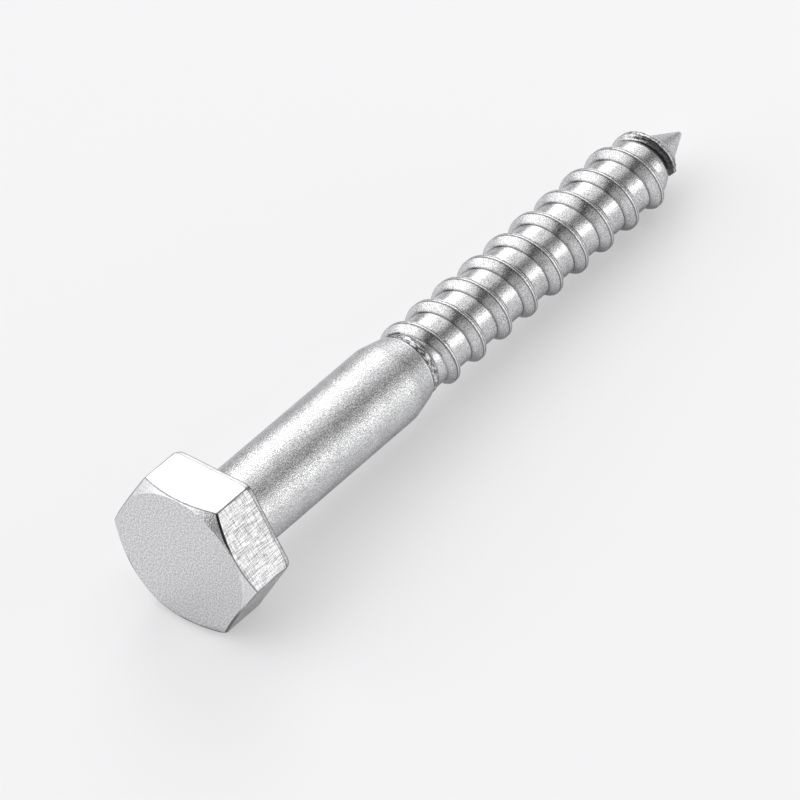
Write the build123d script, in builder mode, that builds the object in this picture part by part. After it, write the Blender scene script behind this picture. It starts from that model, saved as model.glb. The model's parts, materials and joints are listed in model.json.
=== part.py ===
from build123d import *
import os
from math import atan2, cos, degrees, pi, radians, sin, tan

# Lag screw, 10 x 80 mm, forged in one piece from stainless steel wire.
# It is built along the X axis, with the bearing face of the head at X = 0, the head on the
# minus side and the point on the plus side. At the end it is laid down as it comes to rest.

# Head
head_across_flats = 17.0
head_height = 6.4
head_face_diameter = 16.6
head_chamfer_angle = 30.0
head_edge_radius = 0.4
under_head_radius = 0.4

# Body, with its lengths measured from the bearing face
length = 80.0
shank_diameter = 9.6
shank_length = 28.0
shoulder_length = 3.5
shoulder_blend_radius = 3.0
shoulder_lip_height = 0.2
root_diameter = 7.5
point_length = 7.4
point_blend_radius = 1.5
point_diameter = 0.5

# Thread, right-handed: a flat crest, steep flanks, and a flare where they meet the root
pitch = 4.5
crest_diameter = 9.1
crest_width = 0.65
flank_angle = 28.0
flare_angle = 62.0
flare_share = 0.4
thread_start = 30.8
thread_start_angle = 217.0
run_in_turns = 0.6
crest_point_length = 7.3
crest_end_gap = 1.0
thread_bury = 0.15
sections_per_turn = 8

# Fold on the point: there the ridge leans back to the head, over a groove
fold_start = 73.6
fold_turns = 0.9
fold_lean = 0.6
fold_depth = 0.7
fold_width = 1.0

# Worked out from the sizes above
head_corner_radius = head_across_flats / 2 / cos(radians(30))
head_face_radius = head_face_diameter / 2
chamfer_drop = (head_corner_radius - head_face_radius) * tan(radians(head_chamfer_angle))
shank_radius = shank_diameter / 2
root_radius = root_diameter / 2
lip_radius = root_radius + shoulder_lip_height
crest_radius = crest_diameter / 2
point_radius = point_diameter / 2
shoulder_end = shank_length + shoulder_length
point_start = length - point_length
crest_taper_start = length - crest_point_length
thread_turns = (length - crest_end_gap - thread_start) / pitch
fold_first_turn = (fold_start - thread_start) / pitch

# On a flat floor the screw touches with a bearing-side edge of the hexagon and with the last
# full crest that points down, so its axis dips a little towards the point.
down_angle = 270.0
first_down_turn = (down_angle - thread_start_angle) / 360
down_turns = (crest_taper_start - thread_start) / pitch - first_down_turn
last_down_crest = thread_start + pitch * (first_down_turn + int(down_turns))
rest_tilt = degrees(atan2(head_across_flats / 2 - crest_radius, last_down_crest))


def body_radius(x):
    """Radius of the screw under its thread, at x along the axis."""
    if x < shank_length:
        return shank_radius
    if x < shoulder_end:
        return shank_radius - (shank_radius - lip_radius) * (x - shank_length) / shoulder_length
    if x < point_start:
        return root_radius
    return root_radius - (root_radius - point_radius) * (x - point_start) / point_length


def crest_reach(turn):
    """Radius of the thread's crest after so many turns: it rises, runs level, and tapers."""
    x = thread_start + pitch * turn
    if x > crest_taper_start:
        return crest_radius - (crest_radius - point_radius) * (x - crest_taper_start) / crest_point_length
    start_radius = body_radius(thread_start) - thread_bury / 2
    rise = sin(min(turn / run_in_turns, 1) * pi / 2)
    return start_radius + (crest_radius - start_radius) * rise


def fold_strength(turn):
    """How far the fold has developed after so many turns: nothing at its ends, full midway."""
    share = (turn - fold_first_turn) / fold_turns
    return sin(pi * min(max(share, 0), 1))


def turned_plane(turn):
    """The plane through the axis that the thread has reached, with the axis along its own X."""
    angle = radians(thread_start_angle + 360 * turn)
    outward = Vector(0, cos(angle), sin(angle))
    axis = Vector(1, 0, 0)
    return Plane(origin=(thread_start + pitch * turn, 0, 0), x_dir=axis, z_dir=axis.cross(outward))


def thread_section(turn):
    """The ridge's section after so many turns."""
    crest = crest_reach(turn)
    foot = body_radius(thread_start + pitch * turn) - thread_bury
    knee = foot + flare_share * (crest - foot)
    half_crest = crest_width / 2
    half_knee = half_crest + (crest - knee) * tan(radians(flank_angle))
    half_foot = half_knee + (knee - foot) * tan(radians(flare_angle))
    lean = fold_lean * fold_strength(turn)
    knee_lean = flare_share * lean
    with BuildSketch(turned_plane(turn)) as section:
        with BuildLine():
            Polyline(
                (-half_foot, foot),
                (-half_knee - knee_lean, knee),
                (-half_crest - lean, crest),
                (half_crest - lean, crest),
                (half_knee - knee_lean, knee),
                (half_foot, foot),
                close=True,
            )
        make_face()
    return section.sketch


def fold_section(turn):
    """The groove's section after so many turns: it opens towards the head, under the ridge."""
    crest = crest_reach(turn)
    body = body_radius(thread_start + pitch * turn)
    strength = fold_strength(turn)
    with BuildSketch(turned_plane(turn)) as section:
        with BuildLine():
            Polyline(
                (-crest_width - fold_width * (1 + strength), crest),
                (-crest_width, body - fold_depth * strength),
                (-crest_width - fold_lean * strength, crest),
                close=True,
            )
        make_face()
    return section.sketch


with BuildPart() as screw:
    # Head: a hexagon whose outer corners are turned off by a cone
    with BuildSketch(Plane.YZ):
        RegularPolygon(head_corner_radius, 6)
    extrude(amount=-head_height)
    fillet(screw.faces().sort_by(Axis.X)[-1].edges(), head_edge_radius)
    with BuildSketch(Plane.XY):
        with BuildLine():
            Polyline(
                (0, 0),
                (0, head_corner_radius),
                (chamfer_drop - head_height, head_corner_radius),
                (-head_height, head_face_radius),
                (-head_height, 0),
                close=True,
            )
        make_face()
    revolve(axis=Axis.X, mode=Mode.INTERSECT)

    # Body: plain shank, shoulder with its rolled lip, threaded core and point
    with BuildSketch(Plane.XY):
        with BuildLine():
            outline = FilletPolyline(
                (0, shank_radius + 2 * under_head_radius),
                (0, shank_radius),
                (shank_length, shank_radius),
                (shoulder_end, lip_radius),
                (shoulder_end + shoulder_lip_height, root_radius),
                (point_start, root_radius),
                (length, point_radius),
                radius=[under_head_radius, shoulder_blend_radius, 0, 0, point_blend_radius],
            )
            Polyline(outline @ 1, (length, 0), (0, 0), outline @ 0)
        make_face()
    revolve(axis=Axis.X)

    # Thread: one ridge on a helix, lofted turn by turn
    turn_count = round(thread_turns)
    for number in range(turn_count):
        steps = [number + step / sections_per_turn for step in range(sections_per_turn + 1)]
        loft([thread_section(thread_turns * step / turn_count) for step in steps])

    # Groove behind the fold
    steps = [step / sections_per_turn for step in range(sections_per_turn + 1)]
    loft([fold_section(fold_first_turn + fold_turns * step) for step in steps], mode=Mode.SUBTRACT)

# Laid down: tilted about Y, then set on the floor with the middle of its length at X = 0
tilted_screw = screw.part.rotate(Axis.Y, rest_tilt)
tilted_box = tilted_screw.bounding_box()
with BuildPart() as lag_screw:
    with Locations((-tilted_box.center().X, 0, -tilted_box.min.Z)):
        add(tilted_screw)

os.makedirs("parts", exist_ok=True)
lag_screw.part.label = "lag_screw"
export_step(lag_screw.part, "parts/lag_screw.step")
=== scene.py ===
import json
import math
import bpy
from mathutils import Matrix, Vector


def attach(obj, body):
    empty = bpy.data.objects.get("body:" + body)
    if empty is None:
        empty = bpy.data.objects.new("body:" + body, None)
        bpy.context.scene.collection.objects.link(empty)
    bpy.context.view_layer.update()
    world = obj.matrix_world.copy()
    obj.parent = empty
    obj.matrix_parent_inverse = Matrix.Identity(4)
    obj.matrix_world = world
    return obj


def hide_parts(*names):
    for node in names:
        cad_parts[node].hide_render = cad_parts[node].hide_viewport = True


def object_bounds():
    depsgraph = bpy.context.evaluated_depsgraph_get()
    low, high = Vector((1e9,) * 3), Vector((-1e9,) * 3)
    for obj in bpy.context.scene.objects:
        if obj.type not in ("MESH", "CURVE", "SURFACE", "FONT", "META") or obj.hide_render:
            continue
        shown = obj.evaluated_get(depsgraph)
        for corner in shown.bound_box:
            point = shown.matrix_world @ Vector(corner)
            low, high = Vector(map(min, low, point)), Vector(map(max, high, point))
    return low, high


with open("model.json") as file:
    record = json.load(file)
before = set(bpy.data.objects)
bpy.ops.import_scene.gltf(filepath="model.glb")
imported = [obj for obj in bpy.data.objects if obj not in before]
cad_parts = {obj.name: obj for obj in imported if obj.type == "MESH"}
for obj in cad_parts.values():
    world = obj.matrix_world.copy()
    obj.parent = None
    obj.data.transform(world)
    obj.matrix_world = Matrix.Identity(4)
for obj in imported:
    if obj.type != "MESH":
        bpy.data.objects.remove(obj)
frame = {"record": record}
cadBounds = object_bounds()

# Lag screw in bright stainless steel: a forged hexagon head, and a shank that runs through a
# shoulder into a rolled wood thread. The screw lies on the floor, tilted as the frame has it.
# Each piece is made along X with the bearing face at X = 0, then placed by screwMatrix.

mm = 0.001


# Writing node trees: a Field is a node's output that sums can be written with

class Field:
    def __init__(self, tree, socket):
        self.tree = tree
        self.socket = socket

    def __add__(self, other):
        return calc(self.tree, "ADD", self, other)

    def __radd__(self, other):
        return calc(self.tree, "ADD", other, self)

    def __sub__(self, other):
        return calc(self.tree, "SUBTRACT", self, other)

    def __rsub__(self, other):
        return calc(self.tree, "SUBTRACT", other, self)

    def __mul__(self, other):
        return calc(self.tree, "MULTIPLY", self, other)

    def __rmul__(self, other):
        return calc(self.tree, "MULTIPLY", other, self)

    def __truediv__(self, other):
        return calc(self.tree, "DIVIDE", self, other)

    def __rtruediv__(self, other):
        return calc(self.tree, "DIVIDE", other, self)

    def __neg__(self):
        return calc(self.tree, "MULTIPLY", self, -1.0)


def plug(tree, value, socket):
    if isinstance(value, Field):
        tree.links.new(value.socket, socket)
    else:
        socket.default_value = value


def addNode(tree, kind, inputs=None, **settings):
    node = tree.nodes.new(kind)
    node.location = (180 * len(tree.nodes), 0)
    for name, value in settings.items():
        setattr(node, name, value)
    for name, value in (inputs or {}).items():
        plug(tree, value, node.inputs[name])
    return node


def calc(tree, operation, *values):
    node = addNode(tree, "ShaderNodeMath", operation=operation)
    for socket, value in zip(node.inputs, values):
        plug(tree, value, socket)
    return Field(tree, node.outputs[0])


def absolute(a):
    return calc(a.tree, "ABSOLUTE", a)


def minimum(a, b):
    return calc(a.tree, "MINIMUM", a, b)


def maximum(a, b):
    return calc(a.tree, "MAXIMUM", a, b)


def smoothMin(a, b, blend):
    return calc(a.tree, "SMOOTH_MIN", a, b, blend)


def smoothMax(a, b, blend):
    return calc(a.tree, "SMOOTH_MAX", a, b, blend)


def clampShare(a):
    return minimum(maximum(a, 0.0), 1.0)


def smoothShare(a, low, high):         # 0 below low, 1 above high, and a smooth step between
    node = addNode(a.tree, "ShaderNodeMapRange", {"Value": a, "From Min": low, "From Max": high},
                   interpolation_type="SMOOTHSTEP")
    return Field(a.tree, node.outputs["Result"])


def fadeShare(a, low, high):           # 1 below low, 0 above high
    return 1.0 - smoothShare(a, low, high)


def weighed(weights, *fields):         # a fixed amount, and a weight for each field
    total = weights[0]
    for weight, field in zip(weights[1:], fields):
        total = total + weight * field
    return total


def combine(tree, x, y, z):
    node = addNode(tree, "ShaderNodeCombineXYZ", {"X": x, "Y": y, "Z": z})
    return Field(tree, node.outputs[0])


def separate(vector):
    node = addNode(vector.tree, "ShaderNodeSeparateXYZ", {"Vector": vector})
    return [Field(vector.tree, output) for output in node.outputs]


def noise(vector, scale, detail, roughness, seed):
    node = addNode(vector.tree, "ShaderNodeTexNoise", {
        "Vector": vector, "W": seed, "Scale": scale, "Detail": detail, "Roughness": roughness},
        noise_dimensions="4D")
    return Field(vector.tree, node.outputs[0])


# Where the screw lies: its axis and the middle of its head's outer face come from the mounts,
# and the head's height gives the bearing face

mounts = {mount["name"]: mount for mount in frame["record"]["mounts"]}
axisAlong = Vector(mounts["shank"]["axis"]).normalized()
axisSide = Vector((0, 1, 0))
axisUp = axisAlong.cross(axisSide)
faceCentre = Vector(mounts["hex_drive"]["pos_m"])
shankRadius = mounts["shank"]["dims"]["r_mm"] * mm

headSizes = dict(
    acrossFlats=17.0 * mm,
    height=6.4 * mm,
    faceDiameter=16.6 * mm,
    chamferAngle=math.radians(30),
    cornerRadius=0.22 * mm,
    wornCornerRadius=1.5 * mm,         # the corner that the head was dropped on
    wornCornerAngle=math.radians(240),
    faceEdgeRadius=0.12 * mm,
    chamferEdgeRadius=0.08 * mm,
    bevelLength=0.54 * mm,             # a shallow bevel runs down to the bearing face
    bevelDrop=0.11 * mm,
    bevelTopRadius=0.3 * mm,
    bevelRadius=0.1 * mm,
    underHeadRadius=0.4 * mm,
    cornerLonger=0.6,                  # how much the bevel grows towards the hexagon's corners
    cornerDeeper=2.2,
    cornerPower=8.0,
    anglesPerFlat=60,
    edgeSteps=4,
    filletSteps=8,
    faceRings=16,                      # rings between one edge and the next
    chamferRings=6,
    flatRings=16,
    bevelRings=2,
    bearingRings=6,
    sunkRings=2,
)

flatTurn = math.pi / 3                 # the angle that one flat of the head takes up
halfFlatTurn = flatTurn / 2
cornerExcess = 1.0 / math.cos(halfFlatTurn) - 1.0    # how much farther out a sharp corner is than a flat

bearingCentre = faceCentre + axisAlong * headSizes["height"]
screwMatrix = Matrix((
    (axisAlong.x, axisSide.x, axisUp.x, bearingCentre.x),
    (axisAlong.y, axisSide.y, axisUp.y, bearingCentre.y),
    (axisAlong.z, axisSide.z, axisUp.z, bearingCentre.z),
    (0, 0, 0, 1),
))
print("placed: bearing face at", [round(value / mm, 3) for value in bearingCentre])


# Materials. Each has a dictionary of its looks: a Noise is scale, detail, roughness and seed, a
# Stretch is the scale along each axis, a Range is where a smooth step starts and ends, and
# Weights are a fixed amount and then one for each thing that is added.

lineSoftness = 0.07                    # millimetres over which the side of a drawn line fades


def screwSpace(tree):                  # millimetres in the screw's own frame
    coordinates = addNode(tree, "ShaderNodeTexCoord")
    node = addNode(tree, "ShaderNodeMapping", {
        "Vector": Field(tree, coordinates.outputs["Object"]), "Location": bearingCentre,
        "Rotation": screwMatrix.to_euler(), "Scale": (mm, mm, mm)}, vector_type="TEXTURE")
    return Field(tree, node.outputs[0])


def stretched(vector, scales):
    node = addNode(vector.tree, "ShaderNodeMapping", {"Vector": vector, "Scale": scales})
    return Field(vector.tree, node.outputs[0])


def axisDistance(y, z):
    return calc(y.tree, "SQRT", y * y + z * z)


def axisAngle(y, z):                   # from +Y of the screw's own frame towards its +Z
    return calc(y.tree, "ARCTAN2", z, y)


def nearLine(distance, width):         # 1 on a line, 0 a little beyond its width
    return fadeShare(absolute(distance), width, width + lineSoftness)


def grey(value):                       # with the faint blue of clean steel
    return (value, value, value * 1.008, 1.0)


def blendColor(tree, share, first, second):
    node = addNode(tree, "ShaderNodeMix", data_type="RGBA")
    plug(tree, share, node.inputs[0])
    plug(tree, first, node.inputs[6])
    plug(tree, second, node.inputs[7])
    return Field(tree, node.outputs[2])


def paint(color, share, shade):        # a grey over a colour, as far as share says
    return blendColor(color.tree, share, color, grey(shade))


def attribute(tree, name):
    return Field(tree, addNode(tree, "ShaderNodeAttribute", attribute_name=name).outputs["Fac"])


def steelMaterial(name, write, look):
    material = bpy.data.materials.new(name)
    material.use_nodes = True
    tree = material.node_tree
    shader = tree.nodes["Principled BSDF"]
    shader.inputs["Metallic"].default_value = 1.0
    color, roughness, height = write(tree, screwSpace(tree), look)
    plug(tree, color, shader.inputs["Base Color"])
    plug(tree, roughness, shader.inputs["Roughness"])
    shader.inputs["Specular Tint"].default_value = grey(look["edgeTint"])
    bump = addNode(tree, "ShaderNodeBump", {"Height": height, "Distance": look["bumpDepth"]})
    tree.links.new(bump.outputs[0], shader.inputs["Normal"])
    print("material written:", name)
    return material


# Head, its finish: mottled forged skin, brighter flats with crossed lines, dark lines on the edges, and
# painted shade along the edges of its low side

edgeLook = dict(                       # lengths in millimetres
    unevenNoise=(1.1, 3.0, 0.6, 12.0),
    shade=0.05,
    deepStartRange=(math.radians(119.4), math.radians(121)),     # round the axis, where the dark lines are heaviest
    deepEndRange=(math.radians(134), math.radians(153)),
    lowRange=(1.0, 4.5),               # below the axis, where the painted shade of the low side sets in
    onFlatRange=(-0.1, 0.1),
    offFaceRange=(-0.08, 0.06),
    outsideRange=(-0.5, -0.35),        # from the hexagon's outline, to spare the inner faces
    rimWidthWeights=(0.01, 0.04, 0.05),
    rimWeights=(0.45, 0.4, 0.6),
    lowRimWidth=0.01,
    lowRimShare=0.8,
    cornerArc=1.2,                     # turns an angle from a corner into a length along the outline
    cornerWidth=0.02,
    cornerWeights=(0.4, 0.5),
    faceEdgeWeights=(0.0, 0.35, 0.6),
    outlineRange=(-0.34, -0.24),
    lowOutlineShadowShare=0.9,
    bevelWidth=0.03,
    bevelWeights=(0.35, 0.5),
    onBevelRange=(0.0, 0.1),
    onBevelShare=0.12,
    bearingRange=(-0.2, -0.08),
    bearingShare=0.8,
)

forgedLook = dict(
    mottleNoise=(5.0, 1.5, 0.6, 4.0),
    mottleRange=(0.35, 0.65),
    cloudNoise=(0.35, 3.0, 0.5, 5.0),
    darkShade=0.51,
    paleShade=0.88,
    chamferRange=(-0.02, 0.04),        # from the edge of the outer face, in millimetres
    chamferShare=0.5,
    chamferShade=0.84,
    roughnessWeights=(0.32, 0.12, -0.1),
    heightWeights=(0.0, 0.8, 0.6),
    bumpDepth=0.04 * mm,
    edgeTint=0.8,
)

flatLook = dict(
    alongNoise=(1.0, 0.0, 0.5, 6.0),
    alongStretch=(0.6, 15.0, 15.0),
    acrossNoise=(1.0, 0.0, 0.5, 7.0),
    acrossStretch=(13.0, 0.7, 0.7),
    fineNoise=(7.0, 2.0, 0.6, 11.0),
    lineRange=(0.38, 0.48),
    fineRange=(0.4, 0.6),
    bareWeights=(0.0, 0.42, 0.38, 0.2),
    bareShade=0.74,
    lineShade=0.13,
    upperRange=(-0.2, -0.05),          # the upper flat is cleaner: from its plane, in millimetres
    upperCleaner=0.7,
    roughnessWeights=(0.24, 0.1),
    heightWeights=(0.0, 0.7, 0.3, 0.3),
    bumpDepth=0.03 * mm,
    edgeTint=0.8,
)


def headEdges(tree, place, look):      # how dark the head's edges are: dark lines, and painted shade along the edges of the low side
    half = headSizes["acrossFlats"] / 2 / mm
    faceRadius = headSizes["faceDiameter"] / 2 / mm
    x, y, z = separate(place)
    turn = axisAngle(y, z)
    turned = calc(tree, "FLOORED_MODULO", turn, flatTurn) - halfFlatTurn
    reach = half / calc(tree, "COSINE", turned)
    rimX = (reach - faceRadius) * math.tan(headSizes["chamferAngle"]) - headSizes["height"] / mm
    fromRim = x - rimX
    fromAxis = axisDistance(y, z)
    fromFaceEdge = fromAxis - faceRadius
    fromOutline = fromAxis - reach
    fromCorner = (halfFlatTurn - absolute(turned)) * half * look["cornerArc"]

    uneven = noise(place, *look["unevenNoise"])
    deep = smoothShare(turn, *look["deepStartRange"]) * fadeShare(turn, *look["deepEndRange"])
    low = smoothShare(-z, *look["lowRange"])
    onFlat = smoothShare(fromRim, *look["onFlatRange"])
    offFlat = 1.0 - onFlat
    outside = smoothShare(fromOutline, *look["outsideRange"])

    rim = nearLine(fromRim, weighed(look["rimWidthWeights"], uneven, deep)) \
        * weighed(look["rimWeights"], uneven, deep) * smoothShare(fromFaceEdge, *look["offFaceRange"])
    # painted shade: a dark line along the rim of the head's low side
    lowRimShadow = look["lowRimShare"] * nearLine(fromRim, look["lowRimWidth"]) * low
    corner = nearLine(fromCorner, look["cornerWidth"]) * weighed(look["cornerWeights"], uneven) \
        * onFlat * outside
    faceEdge = nearLine(fromFaceEdge, 0.0) * offFlat * weighed(look["faceEdgeWeights"], uneven, deep)
    # painted shade: a dark band along the outline of the head's low side
    outline = look["lowOutlineShadowShare"] * smoothShare(fromOutline, *look["outlineRange"]) * offFlat * low

    nearCorner = calc(tree, "POWER", (reach / half - 1.0) / cornerExcess, headSizes["cornerPower"])
    fromBevel = x + headSizes["bevelLength"] / mm * (1.0 + headSizes["cornerLonger"] * nearCorner)
    bevel = nearLine(fromBevel, look["bevelWidth"]) * weighed(look["bevelWeights"], uneven) * outside
    onBevel = look["onBevelShare"] * smoothShare(fromBevel, *look["onBevelRange"]) * outside
    bearing = look["bearingShare"] * smoothShare(x, *look["bearingRange"]) * outside

    darkest = rim
    for line in (lowRimShadow, corner, faceEdge, outline, bevel, onBevel, bearing):
        darkest = maximum(darkest, line)
    return clampShare(darkest)


def writeForgedSteel(tree, place, look):     # outer face and chamfers
    mottle = noise(place, *look["mottleNoise"])
    cloud = noise(place, *look["cloudNoise"])
    spots = smoothShare(mottle, *look["mottleRange"])
    color = blendColor(tree, spots, grey(look["darkShade"]), grey(look["paleShade"]))
    _, y, z = separate(place)
    fromFaceEdge = axisDistance(y, z) - headSizes["faceDiameter"] / 2 / mm
    onChamfer = smoothShare(fromFaceEdge, *look["chamferRange"])
    color = paint(color, look["chamferShare"] * onChamfer, look["chamferShade"])
    # dark lines along the edges, and painted shade along those of the low side
    color = paint(color, headEdges(tree, place, edgeLook), edgeLook["shade"])
    roughness = weighed(look["roughnessWeights"], cloud, onChamfer)
    height = weighed(look["heightWeights"], mottle, cloud)
    return color, roughness, height


def writeFlatSteel(tree, place, look):       # flats: crossed lines, along the axis and across it
    along = noise(stretched(place, look["alongStretch"]), *look["alongNoise"])
    across = noise(stretched(place, look["acrossStretch"]), *look["acrossNoise"])
    fine = noise(place, *look["fineNoise"])
    bare = weighed(look["bareWeights"], smoothShare(along, *look["lineRange"]),
                   smoothShare(across, *look["lineRange"]), smoothShare(fine, *look["fineRange"]))
    height = separate(place)[2] - headSizes["acrossFlats"] / 2 / mm
    marked = 1.0 - look["upperCleaner"] * smoothShare(height, *look["upperRange"])
    color = blendColor(tree, (1.0 - bare) * marked, grey(look["bareShade"]), grey(look["lineShade"]))
    # dark lines along the edges, and painted shade along those of the low side
    color = paint(color, headEdges(tree, place, edgeLook), edgeLook["shade"])
    roughness = weighed(look["roughnessWeights"], fine)
    relief = weighed(look["heightWeights"], along, across, fine)
    return color, roughness, relief


forgedSteel = steelMaterial("forgedSteel", writeForgedSteel, forgedLook)
flatSteel = steelMaterial("flatSteel", writeFlatSteel, flatLook)


# Head, its shape: rings of one section, turned round a hexagon with rounded corners

def hexReach(angle, sizes):            # from the axis to the hexagon's outline
    half = sizes["acrossFlats"] / 2
    worn = abs(angle - sizes["wornCornerAngle"]) < halfFlatTurn
    corner = sizes["wornCornerRadius"] if worn else sizes["cornerRadius"]
    turned = angle % flatTurn - halfFlatTurn         # from the nearest flat's middle
    straightEnd = (half - corner) * math.tan(halfFlatTurn)
    if half * math.tan(abs(turned)) <= straightEnd:
        return half / math.cos(turned)
    arcCentre = (half - corner) / math.cos(halfFlatTurn)
    fromCorner = halfFlatTurn - abs(turned)
    aside = arcCentre * math.sin(fromCorner)
    return arcCentre * math.cos(fromCorner) + math.sqrt(corner ** 2 - aside ** 2)


def roundedCorner(before, corner, after, radius, steps):
    arrive = (corner - before).normalized()
    leave = (after - corner).normalized()
    turn = math.acos(max(-1.0, min(1.0, arrive.dot(leave))))
    back = radius * math.tan(turn / 2)
    inward = (leave - arrive).normalized()
    centre = corner + inward * math.hypot(radius, back)
    first = corner - arrive * back
    last = corner + leave * back
    points = []
    for step in range(steps + 1):
        spoke = first.lerp(last, step / steps) - centre
        points.append(centre + spoke.normalized() * radius)
    return points


def spread(start, end, count):         # points between two others, which aren't among them
    return [start.lerp(end, (step + 1) / (count + 1)) for step in range(count)]


def cornerShare(reach, sizes):         # 0 along a flat, rising to 1 at the hexagon's corner
    return ((reach / (sizes["acrossFlats"] / 2) - 1.0) / cornerExcess) ** sizes["cornerPower"]


def headSection(angle, sizes):         # (along the axis, from the axis), outer face to shank
    reach = hexReach(angle, sizes)
    faceRadius = sizes["faceDiameter"] / 2
    drop = (reach - faceRadius) * math.tan(sizes["chamferAngle"])
    corner = cornerShare(reach, sizes)
    bevelLength = sizes["bevelLength"] * (1.0 + sizes["cornerLonger"] * corner)
    bevelDrop = sizes["bevelDrop"] * (1.0 + sizes["cornerDeeper"] * corner)
    fillet = sizes["underHeadRadius"]
    centre = Vector((-sizes["height"], 0))
    faceEdge = Vector((-sizes["height"], faceRadius))
    chamferEdge = Vector((drop - sizes["height"], reach))
    bevelStart = Vector((-bevelLength, reach))
    bevelEnd = Vector((0, reach - bevelDrop))
    filletStart = Vector((0, shankRadius + fillet))
    filletEnd = Vector((fillet, shankRadius))
    inShank = Vector((fillet, 0))

    steps = sizes["edgeSteps"]
    face = roundedCorner(centre, faceEdge, chamferEdge, sizes["faceEdgeRadius"], steps)
    chamfer = roundedCorner(faceEdge, chamferEdge, bevelStart, sizes["chamferEdgeRadius"], steps)
    bevel = roundedCorner(chamferEdge, bevelStart, bevelEnd, sizes["bevelTopRadius"], steps)
    bearing = roundedCorner(bevelStart, bevelEnd, filletStart, sizes["bevelRadius"], steps)
    underHead = []
    for step in range(sizes["filletSteps"] + 1):
        turned = math.pi / 2 * step / sizes["filletSteps"]
        underHead.append(filletStart + fillet * Vector((1.0 - math.cos(turned), -math.sin(turned))))

    rows = []
    for zone, points in (
            ("face", spread(centre, face[0], sizes["faceRings"]) + face),
            ("chamfer", spread(face[-1], chamfer[0], sizes["chamferRings"]) + chamfer),
            ("flat", spread(chamfer[-1], bevel[0], sizes["flatRings"]) + bevel),
            ("flat", spread(bevel[-1], bearing[0], sizes["bevelRings"]) + bearing),
            ("face", spread(bearing[-1], filletStart, sizes["bearingRings"]) + underHead),
            ("face", spread(filletEnd, inShank, sizes["sunkRings"]))):
        rows += [(zone, point) for point in points]
    return rows


def makeHead(sizes, materials):
    count = 6 * sizes["anglesPerFlat"]
    vertices = []
    for number in range(count):
        angle = 2 * math.pi * number / count
        rows = headSection(angle, sizes)
        for zone, point in rows:
            vertices.append(Vector((point.x, point.y * math.cos(angle), point.y * math.sin(angle))))
    rowZones = [zone for zone, point in rows]
    rowCount = len(rowZones)
    outerPole = len(vertices)
    shankPole = outerPole + 1
    vertices += [Vector((-sizes["height"], 0, 0)), Vector((sizes["underHeadRadius"], 0, 0))]
    faces, zones = [], []
    for number in range(count):
        here = number * rowCount
        there = (number + 1) % count * rowCount
        faces.append((outerPole, there, here))
        for row in range(rowCount - 1):
            faces.append((here + row, there + row, there + row + 1, here + row + 1))
        faces.append((here + rowCount - 1, there + rowCount - 1, shankPole))
        zones += ["face"] + rowZones[1:] + ["face"]
    mesh = bpy.data.meshes.new("forgedHead")
    mesh.from_pydata(vertices, [], faces)
    for material in materials.values():
        mesh.materials.append(material)
    order = list(materials)
    mesh.polygons.foreach_set("material_index", [order.index(zone) for zone in zones])
    mesh.polygons.foreach_set("use_smooth", [True] * len(faces))
    mesh.transform(screwMatrix)
    mesh.update()
    return mesh


def addPiece(name, mesh):
    piece = bpy.data.objects.new(name, mesh)
    bpy.context.scene.collection.objects.link(piece)
    return piece


forgedHead = addPiece("forgedHead", makeHead(headSizes, {
    "face": forgedSteel, "chamfer": forgedSteel, "flat": flatSteel}))
print("head made:", len(forgedHead.data.polygons), "faces")


# Shank and thread: a strip one pitch wide is wound along the axis, and its seams are welded

threadSizes = {
    "Shank Radius": shankRadius,
    "Shank Length": 28.0 * mm,
    "Shank Blend": 0.08 * mm,
    "Shoulder Length": 3.15 * mm,
    "Lip Radius": 4.12 * mm,
    "Lip Blend": 0.2 * mm,
    "Ring Radius": 3.88 * mm,          # the ring behind the lip
    "Ring End": 32.3 * mm,
    "Ring Blend": 0.03 * mm,
    "Root Radius": 3.75 * mm,
    "Root Blend": 0.05 * mm,
    "Length": 80.0 * mm,
    "Point Length": 7.4 * mm,
    "Point Radius": 0.25 * mm,
    "Point Blend": 0.2 * mm,
    "Sunk In Head": 0.6 * mm,
    "Pitch": 4.5 * mm,
    "Crest Radius": 4.55 * mm,
    "Crest Width": 0.5 * mm,
    "Crest Narrowest": 0.4,            # share of its width that a low crest keeps
    "Crest Shift": 0.08 * mm,
    "Head Flank Run": 1.12 * mm,
    "Point Flank Run": 0.7 * mm,
    "Flank Run Least": 0.02 * mm,
    "Flank Hollow": 1.4,
    "Flank Sink": 2.0 * mm,            # how fast a flank goes down inside the core
    "Thread Start": 30.8 * mm,
    "Start Angle": math.radians(217),
    "Run In Turns": 0.6,
    "End Slope": 0.5,
    "First Turn Slimmer": 0.3,
    "Slimmer Start": 0.6,              # in turns
    "Slimmer Full": 0.8,
    "Slimmer Until": 0.9,
    "Slimmer End": 1.7,
    "Crest Point Length": 7.3 * mm,
    "Crest End Gap": 2.6 * mm,
    "Thread Bury": 0.15 * mm,
    "Crest Rounding": 0.025 * mm,
    "Foot Rounding": 0.04 * mm,
    "Fold Start": 73.6 * mm,
    "Fold Turns": 0.9,
    "Fold Fade Start": 0.56,           # in shares of the fold's length
    "Fold Fade End": 0.86,
    "Fold Lean": 0.45 * mm,
    "Fold Depth": 0.7 * mm,
    "Fold Rise": 0.12 * mm,
    "Fold Rags": 0.7 * mm,
    "Rags Per Turn": 40.0,
    "Fold Reach": 1.75 * mm,
    "Fold Blend": 0.3 * mm,
    "Fold Steeper": 0.45,
    "Fold Undercut": 0.6 * mm,
    "Side Blend": 0.2 * mm,
    "Turns Before": 1.7,
    "Turns After": 0.8,
    "Steps Per Turn": 84.0,
    "Steps Across": 44.0,
    "Middle Density": 0.35,            # below 1 packs the strip's lines towards the crest
    "Least Height": 0.05 * mm,
    "Weld Distance": 0.001 * mm,
    "Seed": 3.0,
}

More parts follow.
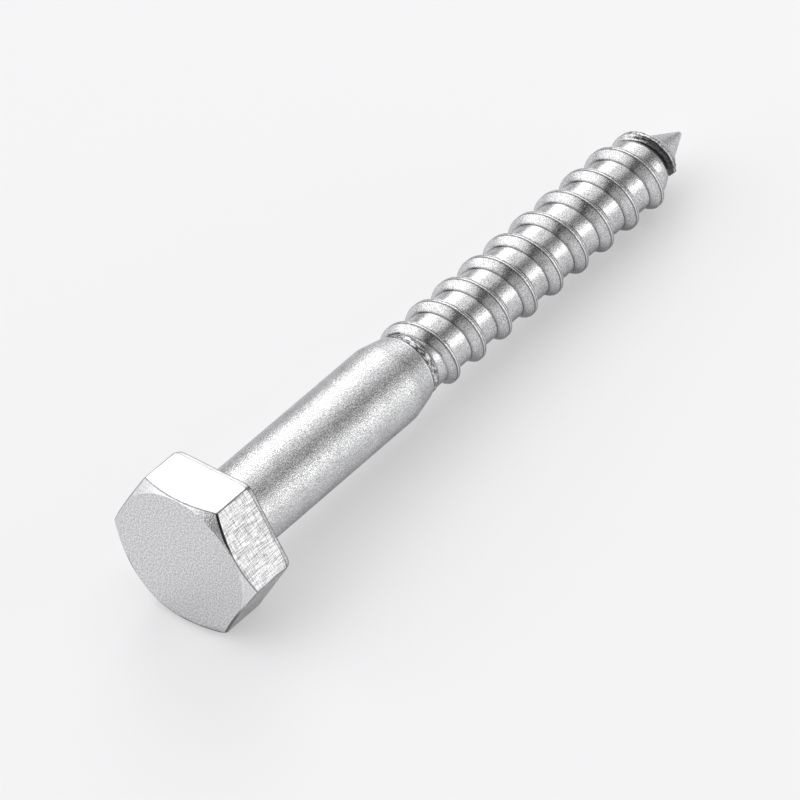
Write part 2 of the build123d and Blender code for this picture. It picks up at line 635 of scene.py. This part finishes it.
markPlaces = dict(                     # on the wound strip: the fold's rags, and where the marks and the painted shade lie
    ragsNoise=(1.0, 1.0, 0.5),         # scale, detail and roughness
    crestRiseRange=(0.1, 0.6),         # of the full height, over which a crest gets its width
    # the painted shade in the corner at the head-side flank's foot
    footPower=7.0,
    footEndRange=(1.0, 1.12),          # in flank runs from the crest
    # the painted shade in the fold's groove, and its crease
    foldStrengthRange=(0.1, 0.2),
    foldTopDrop=1.5,
    foldTopFade=0.3,
    foldRimRange=(1.6, 2.2),           # in half crests
    creaseAt=0.85,
    creaseRange=(0.1, 0.35),
    burrStartRange=(0.0, 0.04),        # in shares of the fold's length
    burrEndRange=(0.08, 0.3),
    burrSideRange=(1.5, 3.0),          # in half crests
    crestSideRange=(1.1, 1.35),
)

drawnLook = dict(                      # lengths in millimetres
    grainNoise=(9.0, 1.0, 0.6, 1.0),
    drawNoise=(1.0, 3.0, 0.6, 2.0),
    drawStretch=(0.5, 5.0, 5.0),
    cloudNoise=(0.5, 3.0, 0.55, 3.0),
    threadRange=(-0.15, 1.85),         # from the lip
    threadGrainLess=0.2,
    threadBumpLess=0.6,
    toneWeights=(0.38, 0.08, 0.16, 0.8),
    toneRange=(0.4, 0.6),
    darkShade=0.4,
    paleShade=0.84,
    tornPerTurn=70.0,
    tornAcross=5.0,
    tornNoise=(1.0, 3.0, 0.6, 8.0),
    tornRange=(0.4, 0.55),
    wanderNoise=(1.0, 2.0, 0.5, 9.0),
    wanderStretch=(0.3, 0.0, 0.0),
    wanderWidth=0.3,
    crestShade=0.78,
    crestEdgeAt=-0.24,
    crestEdgeWander=0.4,
    crestEdgeRange=(0.03, 0.09),
    crestSeamAt=0.08,
    crestSeamRange=(0.02, 0.08),
    crestSeamWeights=(0.6, 0.4),
    crestLineShare=0.85,
    crestLineShade=0.1,
    # painted shade in the corner at the flank's foot
    footShare=0.95,
    footPaintedShade=0.06,
    ringNoise=(1.0, 3.0, 0.6, 10.0),
    ringStretch=(4.0, 1.6, 1.6),
    ringBodyRange=(0.02, 0.1),
    ringStartRange=(0.05, 0.15),       # from the lip
    ringEndRange=(-0.2, 0.2),          # from the ring's end
    ringDarkRange=(0.48, 0.58),
    ringDarkShade=0.14,
    ringPaleRange=(0.36, 0.43),
    ringPaleShade=0.98,
    behindLip=0.15,
    behindLipWidth=0.04,
    behindLipRange=(0.3, 0.5),
    behindLipShare=0.8,
    behindLipShade=0.06,
    # a painted highlight: a bright line along the lip's edge
    lipBefore=0.15,
    lipWidth=0.07,
    lipHighlightShade=0.97,
    # the fold's painted shade, mottled like torn metal, and its crease
    foldRange=(0.35, 0.65),
    foldDarkShade=0.16,
    foldPaleShade=0.42,
    creaseShade=0.02,
    curlNoise=(1.0, 1.0, 0.5, 13.0),
    curlStretch=(0.45, 0.3, 1.0),
    curlDarkRange=(0.5, 0.6),
    curlDarkShade=0.16,
    curlPaleRange=(0.36, 0.44),
    curlPaleShare=0.7,
    curlPaleShade=0.85,
    seamAngle=math.radians(68),
    seamRange=(-3.1, -2.7),            # from the tip
    seamWidth=0.04,
    seamShare=0.8,
    seamShade=0.06,
    roughnessWeights=(0.18, 0.12, -0.02, 0.25),
    drawHeight=0.12,
    reliefWeights=(0.0, 2.4, -1.0, 2.0, 3.0, 6.0),
    bumpDepth=0.05 * mm,
    edgeTint=0.78,
)


def writeDrawnSteel(tree, place, look):      # fine grain, drawn lines, clouds, and the thread's marks
    x, y, z = separate(place)
    fromLip = x - (threadSizes["Shank Length"] + threadSizes["Shoulder Length"]) / mm
    grain = noise(place, *look["grainNoise"])
    draw = noise(stretched(place, look["drawStretch"]), *look["drawNoise"])
    cloud = noise(place, *look["cloudNoise"])
    onThread = smoothShare(fromLip, *look["threadRange"])
    grainTone = (grain - 0.5) * (1.0 - look["threadGrainLess"] * onThread)
    tone = weighed(look["toneWeights"], draw, cloud, grainTone)
    toneShare = smoothShare(tone, *look["toneRange"])
    color = blendColor(tree, toneShare, grey(look["darkShade"]), grey(look["paleShade"]))

    # along the rolled crest two thin dark lines, one of them torn, and painted shade in the corner at the
    # flank's foot
    onCrest = attribute(tree, "onCrest")
    side = attribute(tree, "crestSide")
    alongCrest = combine(tree, attribute(tree, "woundTurn") * look["tornPerTurn"],
                         side * look["tornAcross"], 0.0)
    torn = noise(alongCrest, *look["tornNoise"])
    wander = noise(stretched(alongCrest, look["wanderStretch"]), *look["wanderNoise"]) - 0.5
    wander = wander * look["wanderWidth"]
    fromEdge = side - look["crestEdgeAt"] + look["crestEdgeWander"] * wander
    edge = fadeShare(absolute(fromEdge), *look["crestEdgeRange"])
    seam = fadeShare(absolute(side - look["crestSeamAt"] + wander), *look["crestSeamRange"])
    seamShare = weighed(look["crestSeamWeights"], smoothShare(torn, *look["tornRange"]))
    lines = onCrest * clampShare(edge + seam * seamShare)
    color = paint(color, onCrest, look["crestShade"])
    color = paint(color, look["crestLineShare"] * lines, look["crestLineShade"])
    # painted shade: a dark line in the corner at the flank's foot
    color = paint(color, look["footShare"] * attribute(tree, "footPaintedShade"), look["footPaintedShade"])

    # the lip at the end of the shoulder: a torn ring and a dark line behind it, and a painted highlight
    # along its edge
    ring = noise(stretched(place, look["ringStretch"]), *look["ringNoise"])
    offRidge = fadeShare(attribute(tree, "ridgeShare"), *look["ringBodyRange"])
    fromRingEnd = x - threadSizes["Ring End"] / mm
    onRing = smoothShare(fromLip, *look["ringStartRange"]) \
        * fadeShare(fromRingEnd, *look["ringEndRange"]) * offRidge
    color = paint(color, onRing * smoothShare(ring, *look["ringDarkRange"]), look["ringDarkShade"])
    color = paint(color, onRing * fadeShare(ring, *look["ringPaleRange"]), look["ringPaleShade"])
    behindLip = nearLine(fromLip - look["behindLip"], look["behindLipWidth"]) \
        * smoothShare(ring, *look["behindLipRange"]) * offRidge
    color = paint(color, look["behindLipShare"] * behindLip, look["behindLipShade"])
    # painted highlight: a bright line along the lip's edge
    lip = nearLine(fromLip + look["lipBefore"], look["lipWidth"]) * offRidge
    color = paint(color, lip, look["lipHighlightShade"])

    # the fold: painted shade in its groove, mottled like torn metal and blackest in the crease, and torn
    # burrs where it starts
    foldShadeShare = attribute(tree, "foldShare")
    foldShare = smoothShare(torn, *look["foldRange"])
    scale = blendColor(tree, foldShare, grey(look["foldDarkShade"]), grey(look["foldPaleShade"]))
    scale = paint(scale, attribute(tree, "foldCrease"), look["creaseShade"])
    color = blendColor(tree, foldShadeShare, color, scale)
    burrs = attribute(tree, "burrShare")
    curls = noise(stretched(alongCrest, look["curlStretch"]), *look["curlNoise"])
    color = paint(color, burrs * smoothShare(curls, *look["curlDarkRange"]), look["curlDarkShade"])
    paleCurls = burrs * fadeShare(curls, *look["curlPaleRange"])
    color = paint(color, look["curlPaleShare"] * paleCurls, look["curlPaleShade"])

    # the gimlet point: a dark seam along its top
    aroundPoint = (axisAngle(y, z) - look["seamAngle"]) * axisDistance(y, z)
    onPoint = smoothShare(x - threadSizes["Length"] / mm, *look["seamRange"])
    pointSeam = look["seamShare"] * nearLine(aroundPoint, look["seamWidth"]) * onPoint
    color = paint(color, pointSeam, look["seamShade"])

    roughness = weighed(look["roughnessWeights"], tone, onThread, foldShadeShare)
    relief = weighed(look["reliefWeights"], onCrest * torn, onCrest * seam, onRing * ring,
                     foldShadeShare * torn, burrs * curls)
    height = grain * (1.0 - look["threadBumpLess"] * onThread) + look["drawHeight"] * draw + relief
    return color, roughness, height


drawnSteel = steelMaterial("drawnSteel", writeDrawnSteel, drawnLook)


def shoulderSlope(size):               # how fast the radius shrinks along the shoulder
    return (size["Shank Radius"] - size["Lip Radius"]) / size["Shoulder Length"]


def bodyRadius(x, size):               # radius under the thread
    shoulder = size["Shank Radius"] - (x - size["Shank Length"]) * shoulderSlope(size)
    shoulderEnd = size["Shank Length"] + size["Shoulder Length"]
    lip = size["Lip Radius"] - (x - shoulderEnd)
    ring = size["Ring Radius"] - maximum(x - size["Ring End"], 0.0)
    taper = (size["Root Radius"] - size["Point Radius"]) / size["Point Length"]
    point = size["Root Radius"] - (x - (size["Length"] - size["Point Length"])) * taper
    radius = smoothMin(shoulder, size["Shank Radius"], size["Shank Blend"])
    radius = smoothMin(radius, lip, size["Lip Blend"])
    radius = smoothMax(radius, ring, size["Ring Blend"])
    radius = smoothMax(radius, size["Root Radius"], size["Root Blend"])
    return smoothMin(radius, point, size["Point Blend"])


def writeThreadTree(sizes, marks, material):
    tree = bpy.data.node_groups.new("woundThread", "GeometryNodeTree")
    tree.is_modifier = True
    sockets = {}
    for name in sizes:
        socket = tree.interface.new_socket(name=name, in_out="INPUT", socket_type="NodeSocketFloat")
        sockets[name] = socket.identifier
    tree.interface.new_socket(name="Geometry", in_out="OUTPUT", socket_type="NodeSocketGeometry")
    entry = addNode(tree, "NodeGroupInput")
    size = {name: Field(tree, entry.outputs[name]) for name in sizes}

    # the strip, counted in turns along it and in shares of a pitch across it
    firstTurn = -(size["Sunk In Head"] + size["Thread Start"]) / size["Pitch"] - size["Turns Before"]
    lastTurn = (size["Length"] - size["Thread Start"]) / size["Pitch"] + size["Turns After"]
    stepsAlong = calc(tree, "CEIL", (lastTurn - firstTurn) * size["Steps Per Turn"])
    grid = addNode(tree, "GeometryNodeMeshGrid", {
        "Vertices X": stepsAlong + 1.0, "Vertices Y": size["Steps Across"] + 1.0})
    along, across, _ = separate(Field(tree, grid.outputs["UV Map"]))
    turn = firstTurn + along * stepsAlong / size["Steps Per Turn"]
    side = across * 2.0 - 1.0
    density = size["Middle Density"]
    offset = size["Pitch"] / 2.0 * side * (density + (1.0 - density) * side * side)
    crestX = size["Thread Start"] + size["Pitch"] * turn
    woundX = crestX + offset
    x = minimum(maximum(woundX, -size["Sunk In Head"]), size["Length"])
    beyondEnd = absolute(woundX - x)
    angle = size["Start Angle"] + turn * math.tau
    headSide = smoothShare(-offset, 0.0, size["Side Blend"])

    # the crest: it rises out of the shoulder, runs level and tapers to the point
    bodyAtCrest = bodyRadius(crestX, size)
    startDrop = (size["Thread Start"] - size["Shank Length"]) * shoulderSlope(size)
    startReach = size["Shank Radius"] - startDrop - size["Thread Bury"] / 2.0
    rise = calc(tree, "SINE", clampShare(turn / size["Run In Turns"]) * (math.pi / 2))
    reach = startReach + (size["Crest Radius"] - startReach) * rise
    pastTaper = maximum(crestX - (size["Length"] - size["Crest Point Length"]), 0.0)
    crestTaper = (size["Crest Radius"] - size["Point Radius"]) / size["Crest Point Length"]
    reach = minimum(reach, size["Crest Radius"] - pastTaper * crestTaper)
    beforeStart = maximum(-turn, 0.0) * size["Pitch"]
    pastEnd = maximum(crestX - (size["Length"] - size["Crest End Gap"]), 0.0)
    reach = reach - (beforeStart + pastEnd) * size["End Slope"]

    # the fold near the point: its strength, and the rags of its torn edge
    foldFirst = (size["Fold Start"] - size["Thread Start"]) / size["Pitch"]
    foldShare = clampShare((turn - foldFirst) / size["Fold Turns"])
    strength = calc(tree, "SINE", foldShare * math.pi) \
        * fadeShare(foldShare, size["Fold Fade Start"], size["Fold Fade End"])
    alongFold = combine(tree, turn * size["Rags Per Turn"], 0.0, 0.0)
    rags = noise(alongFold, *marks["ragsNoise"], size["Seed"])
    reach = reach + (size["Fold Rise"] + (rags - 0.5) * size["Fold Rags"]) * strength
    folded = strength * headSide

    # the ridge's section: a narrow crest, and on each side a hollow flank down to the foot
    rising = clampShare((reach - bodyAtCrest) / (size["Crest Radius"] - size["Root Radius"]))
    widening = smoothShare(rising, *marks["crestRiseRange"])
    crestShare = size["Crest Narrowest"] + (1.0 - size["Crest Narrowest"]) * widening
    halfCrest = size["Crest Width"] / 2.0 * crestShare
    fromCrest = offset - size["Crest Shift"]
    distance = absolute(fromCrest)
    slimmer = smoothShare(turn, size["Slimmer Start"], size["Slimmer Full"]) \
        * fadeShare(turn, size["Slimmer Until"], size["Slimmer End"])
    fullRun = size["Point Flank Run"] + (size["Head Flank Run"] - size["Point Flank Run"]) * headSide
    fullRun = fullRun * (1.0 - size["First Turn Slimmer"] * slimmer)
    flankRun = fullRun * rising * (1.0 - size["Fold Steeper"] * folded)
    down = (distance - halfCrest) / maximum(flankRun, size["Flank Run Least"])
    flankShare = calc(tree, "POWER", 1.0 - clampShare(down), size["Flank Hollow"])
    sink = maximum(down - 1.0, 0.0) * size["Flank Sink"]
    undercut = folded * size["Fold Undercut"] * clampShare(down)
    flank = bodyAtCrest + (reach - bodyAtCrest) * flankShare - sink - undercut
    ridge = smoothMin(flank, reach, size["Crest Rounding"])

    # the ground that the ridge stands on, with the groove behind the fold
    grooveShare = smoothShare(offset + size["Fold Reach"], 0.0, size["Fold Blend"])
    body = bodyRadius(x, size)
    ground = body - folded * grooveShare * size["Fold Depth"]
    radius = smoothMax(ridge, ground, size["Foot Rounding"])
    fullHeight = maximum(reach - bodyAtCrest, size["Least Height"])
    heightShare = clampShare((radius - body) / fullHeight)
    leanedX = x - size["Fold Lean"] * strength * heightShare

    # ends closed: what is wound past them runs in to the axis
    radius = maximum(radius - beyondEnd, 0.0)
    y = radius * calc(tree, "COSINE", angle)
    z = radius * calc(tree, "SINE", angle)
    moved = addNode(tree, "GeometryNodeSetPosition", {
        "Geometry": Field(tree, grid.outputs["Mesh"]), "Position": combine(tree, leanedX, y, z)})
    geometry = Field(tree, moved.outputs[0])

    # where the finish's marks and the painted shade lie
    # painted shade: a dark line in the corner at the foot of the head-side flank
    toFoot = maximum(down, 0.0)
    footPaintedShade = headSide * rising * calc(tree, "POWER", clampShare(toFoot), marks["footPower"]) \
        * fadeShare(toFoot, *marks["footEndRange"])
    # painted shade in the groove before the fold, blackest along its crease
    foldTop = 1.0 - marks["foldTopDrop"] * strength
    halfCrests = distance / halfCrest
    foldDark = smoothShare(down, foldTop, foldTop + marks["foldTopFade"]) \
        * smoothShare(strength, *marks["foldStrengthRange"]) * grooveShare \
        * fadeShare(fromCrest / halfCrest, *marks["foldRimRange"])
    foldCrease = foldDark * fadeShare(absolute(down - marks["creaseAt"]), *marks["creaseRange"])
    burrShare = smoothShare(foldShare, *marks["burrStartRange"]) \
        * fadeShare(foldShare, *marks["burrEndRange"]) \
        * fadeShare(halfCrests, *marks["burrSideRange"]) * (1.0 - foldDark)
    onCrest = rising * fadeShare(halfCrests, *marks["crestSideRange"])
    for name, value in {"ridgeShare": heightShare, "foldShare": foldDark, "foldCrease": foldCrease,
                        "burrShare": burrShare, "footPaintedShade": footPaintedShade, "onCrest": onCrest,
                        "crestSide": fromCrest / mm, "woundTurn": turn}.items():
        store = addNode(tree, "GeometryNodeStoreNamedAttribute", {
            "Geometry": geometry, "Name": name, "Value": value}, data_type="FLOAT", domain="POINT")
        geometry = Field(tree, store.outputs[0])

    for kind, inputs in (("GeometryNodeMergeByDistance", {"Distance": size["Weld Distance"]}),
                         ("GeometryNodeSetShadeSmooth", {}),
                         ("GeometryNodeRealizeInstances", {}),
                         ("GeometryNodeSetMaterial", {"Material": material})):
        node = addNode(tree, kind, {"Geometry": geometry, **inputs})
        geometry = Field(tree, node.outputs[0])
    addNode(tree, "NodeGroupOutput", {"Geometry": geometry})
    return tree, sockets


def makeFromTree(name, tree, sockets, sizes):
    carrier = addPiece(name + "Carrier", bpy.data.meshes.new(name + "Carrier"))
    modifier = carrier.modifiers.new("wind", "NODES")
    modifier.node_group = tree
    for size, value in sizes.items():
        modifier[sockets[size]] = value
    evaluated = carrier.evaluated_get(bpy.context.evaluated_depsgraph_get())
    mesh = bpy.data.meshes.new_from_object(evaluated)
    carrier.modifiers.remove(modifier)
    bpy.data.objects.remove(carrier)
    mesh.name = name
    mesh.transform(screwMatrix)
    return addPiece(name, mesh)


threadTree, threadSockets = writeThreadTree(threadSizes, markPlaces, drawnSteel)
threadedShank = makeFromTree("threadedShank", threadTree, threadSockets, threadSizes)
print("shank and thread made:", len(threadedShank.data.polygons), "faces")

for piece in (forgedHead, threadedShank):
    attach(piece, "root")
    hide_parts("lag_screw")


# Floor, light and camera

studio = dict(
    floorHalf=3.0,
    floorColor=(0.935, 0.935, 0.942, 1.0),
    floorRoughness=0.7,
    floorShine=0.2,
    floorPaleSeen=0.42,
    floorPaleReflected=0.38,
    underScrew=2.0 * mm,               # reflections find the floor in the screw's shade up to here
    besideScrew=7.0 * mm,
    keyAzimuth=47.0,
    keyElevation=38.5,
    keyDistance=0.8,
    keySize=0.36,
    keyPower=0.74,
    stripAzimuth=-58.0,
    stripElevation=8.0,
    stripDistance=0.7,
    stripWidth=0.5,
    stripHeight=0.19,
    stripPower=0.57,
    airLow=0.42,
    airHigh=1.02,
    airRange=(0.0, 0.7),
    patches=dict(
        window=dict(azimuth=131.0, halfWidth=38.0, height=0.4, halfHeight=0.55, soft=0.08, shade=1.65),
        corner=dict(azimuth=108.0, halfWidth=14.0, height=0.0, halfHeight=0.3, soft=0.14, shade=0.75),
        wall=dict(azimuth=29.0, halfWidth=18.0, height=0.4, halfHeight=0.22, soft=0.1, shade=1.7),
        screen=dict(azimuth=-118.0, halfWidth=30.0, height=0.25, halfHeight=0.35, soft=0.14, shade=0.52),
    ),
    slotMiddle=0.29,                   # dark slot between the key softbox and the window
    slotRange=(0.07, 0.15),
    slotAwayRange=(0.2, 0.5),
    slotTopRange=(0.5, 0.95),
    slotShade=0.0,
    gapAngle=math.radians(124),        # dark gap overhead: from +Y over the top toward -Y
    gapRange=(0.11, 0.33),
    gapAlongRange=(-0.4, 0.5),
    gapShade=0.23,
    gapShadeBehind=0.03,
)


def direction(azimuth, elevation):     # degrees, from +X toward +Y, and up
    level = math.cos(math.radians(elevation))
    return Vector((level * math.cos(math.radians(azimuth)), level * math.sin(math.radians(azimuth)),
                   math.sin(math.radians(elevation))))


def makeFloor():
    half = studio["floorHalf"]
    level = cadBounds[0][2]
    corners = [(-half, -half, level), (half, -half, level), (half, half, level), (-half, half, level)]
    mesh = bpy.data.meshes.new("floor")
    mesh.from_pydata(corners, [], [(0, 1, 2, 3)])
    material = bpy.data.materials.new("paleFloor")
    material.use_nodes = True
    tree = material.node_tree
    shader = tree.nodes["Principled BSDF"]
    shader.inputs["Base Color"].default_value = studio["floorColor"]
    shader.inputs["Roughness"].default_value = studio["floorRoughness"]
    shader.inputs["Specular IOR Level"].default_value = studio["floorShine"]
    rays = addNode(tree, "ShaderNodeLightPath")
    seen, glossy, through = [Field(tree, rays.outputs[name])
                             for name in ("Is Camera Ray", "Is Glossy Ray", "Is Transmission Ray")]
    coordinates = addNode(tree, "ShaderNodeTexCoord")
    aside = absolute(separate(Field(tree, coordinates.outputs["Object"]))[1])
    clear = smoothShare(aside, studio["underScrew"], studio["besideScrew"])
    reflected = (glossy + through) * clear
    pale = seen * studio["floorPaleSeen"] + reflected * studio["floorPaleReflected"]
    glow = addNode(tree, "ShaderNodeEmission", {"Color": studio["floorColor"], "Strength": 1.0})
    mix = addNode(tree, "ShaderNodeMixShader", {0: clampShare(pale)})
    tree.links.new(shader.outputs[0], mix.inputs[1])
    tree.links.new(glow.outputs[0], mix.inputs[2])
    tree.links.new(mix.outputs[0], tree.nodes["Material Output"].inputs["Surface"])
    mesh.materials.append(material)
    floor = addPiece("floor", mesh)


def addSoftbox(name, azimuth, elevation, distance, width, height, power):
    lamp = bpy.data.lights.new(name, "AREA")
    lamp.shape = "RECTANGLE"
    lamp.size = width
    lamp.size_y = height
    lamp.energy = power
    holder = bpy.data.objects.new(name, lamp)
    bpy.context.scene.collection.objects.link(holder)
    out = direction(azimuth, elevation)
    holder.location = boxMiddle + out * distance
    holder.rotation_euler = out.to_track_quat("Z", "Y").to_euler()


def skyShare(x, y, z, patch):          # 1 inside a soft-edged patch of the room's walls, 0 outside
    aside = absolute(calc(x.tree, "ARCTAN2", y, x) - math.radians(patch["azimuth"]))
    above = absolute(z - patch["height"])
    soft = patch["soft"]
    wide = math.radians(patch["halfWidth"])
    tall = patch["halfHeight"]
    return fadeShare(aside, wide - soft, wide + soft) * fadeShare(above, tall - soft, tall + soft)


def writeWorld():                      # pale air, the room's patches, a dark slot and a dark gap
    world = bpy.data.worlds.new("studioAir")
    bpy.context.scene.world = world
    world.use_nodes = True
    tree = world.node_tree
    coordinates = addNode(tree, "ShaderNodeTexCoord")
    x, y, z = separate(Field(tree, coordinates.outputs["Generated"]))
    height = smoothShare(z, *studio["airRange"])
    shade = blendColor(tree, height, grey(studio["airLow"]), grey(studio["airHigh"]))
    for patch in studio["patches"].values():
        shade = paint(shade, skyShare(x, y, z, patch), patch["shade"])
    inSlot = fadeShare(absolute(x - studio["slotMiddle"]), *studio["slotRange"]) \
        * smoothShare(y, *studio["slotAwayRange"]) * fadeShare(z, *studio["slotTopRange"])
    shade = paint(shade, inSlot, studio["slotShade"])
    fromGap = absolute(y * math.sin(studio["gapAngle"]) - z * math.cos(studio["gapAngle"]))
    alongGap = smoothShare(x, *studio["gapAlongRange"])
    gap = blendColor(tree, alongGap, grey(studio["gapShadeBehind"]), grey(studio["gapShade"]))
    shade = blendColor(tree, fadeShare(fromGap, *studio["gapRange"]), shade, gap)
    plug(tree, shade, tree.nodes["Background"].inputs["Color"])


boxMiddle = (Vector(cadBounds[0]) + Vector(cadBounds[1])) / 2
makeFloor()
addSoftbox("keySoftbox", studio["keyAzimuth"], studio["keyElevation"], studio["keyDistance"],
           studio["keySize"], studio["keySize"], studio["keyPower"])
addSoftbox("lowStrip", studio["stripAzimuth"], studio["stripElevation"], studio["stripDistance"],
           studio["stripWidth"], studio["stripHeight"], studio["stripPower"])
writeWorld()

cameraSizes = dict(
    lens=405.0,
    sensor=36.0,
    azimuth=-137.175,
    elevation=43.301,
    distance=0.96624,
    roll=-6.36,
    panRight=-3.616 * mm,
    panUp=-7.737 * mm,
    clipEnd=20.0,
)


def addCamera(sizes):
    lens = bpy.data.cameras.new("camera")
    lens.lens = sizes["lens"]
    lens.sensor_width = sizes["sensor"]
    lens.clip_end = sizes["clipEnd"]
    camera = bpy.data.objects.new("camera", lens)
    bpy.context.scene.collection.objects.link(camera)
    back = direction(sizes["azimuth"], sizes["elevation"])
    level = Vector((0, 0, 1)).cross(back).normalized()
    right = Matrix.Rotation(math.radians(sizes["roll"]), 3, back) @ level
    up = back.cross(right)
    camera.matrix_world = Matrix((right, up, back)).transposed().to_4x4()
    camera.location = boxMiddle + back * sizes["distance"] + right * sizes["panRight"] + up * sizes["panUp"]
    bpy.context.scene.camera = camera


addCamera(cameraSizes)
bpy.context.scene.view_settings.view_transform = "Standard"
print("floor, light and camera set")

bpy.context.view_layer.update()
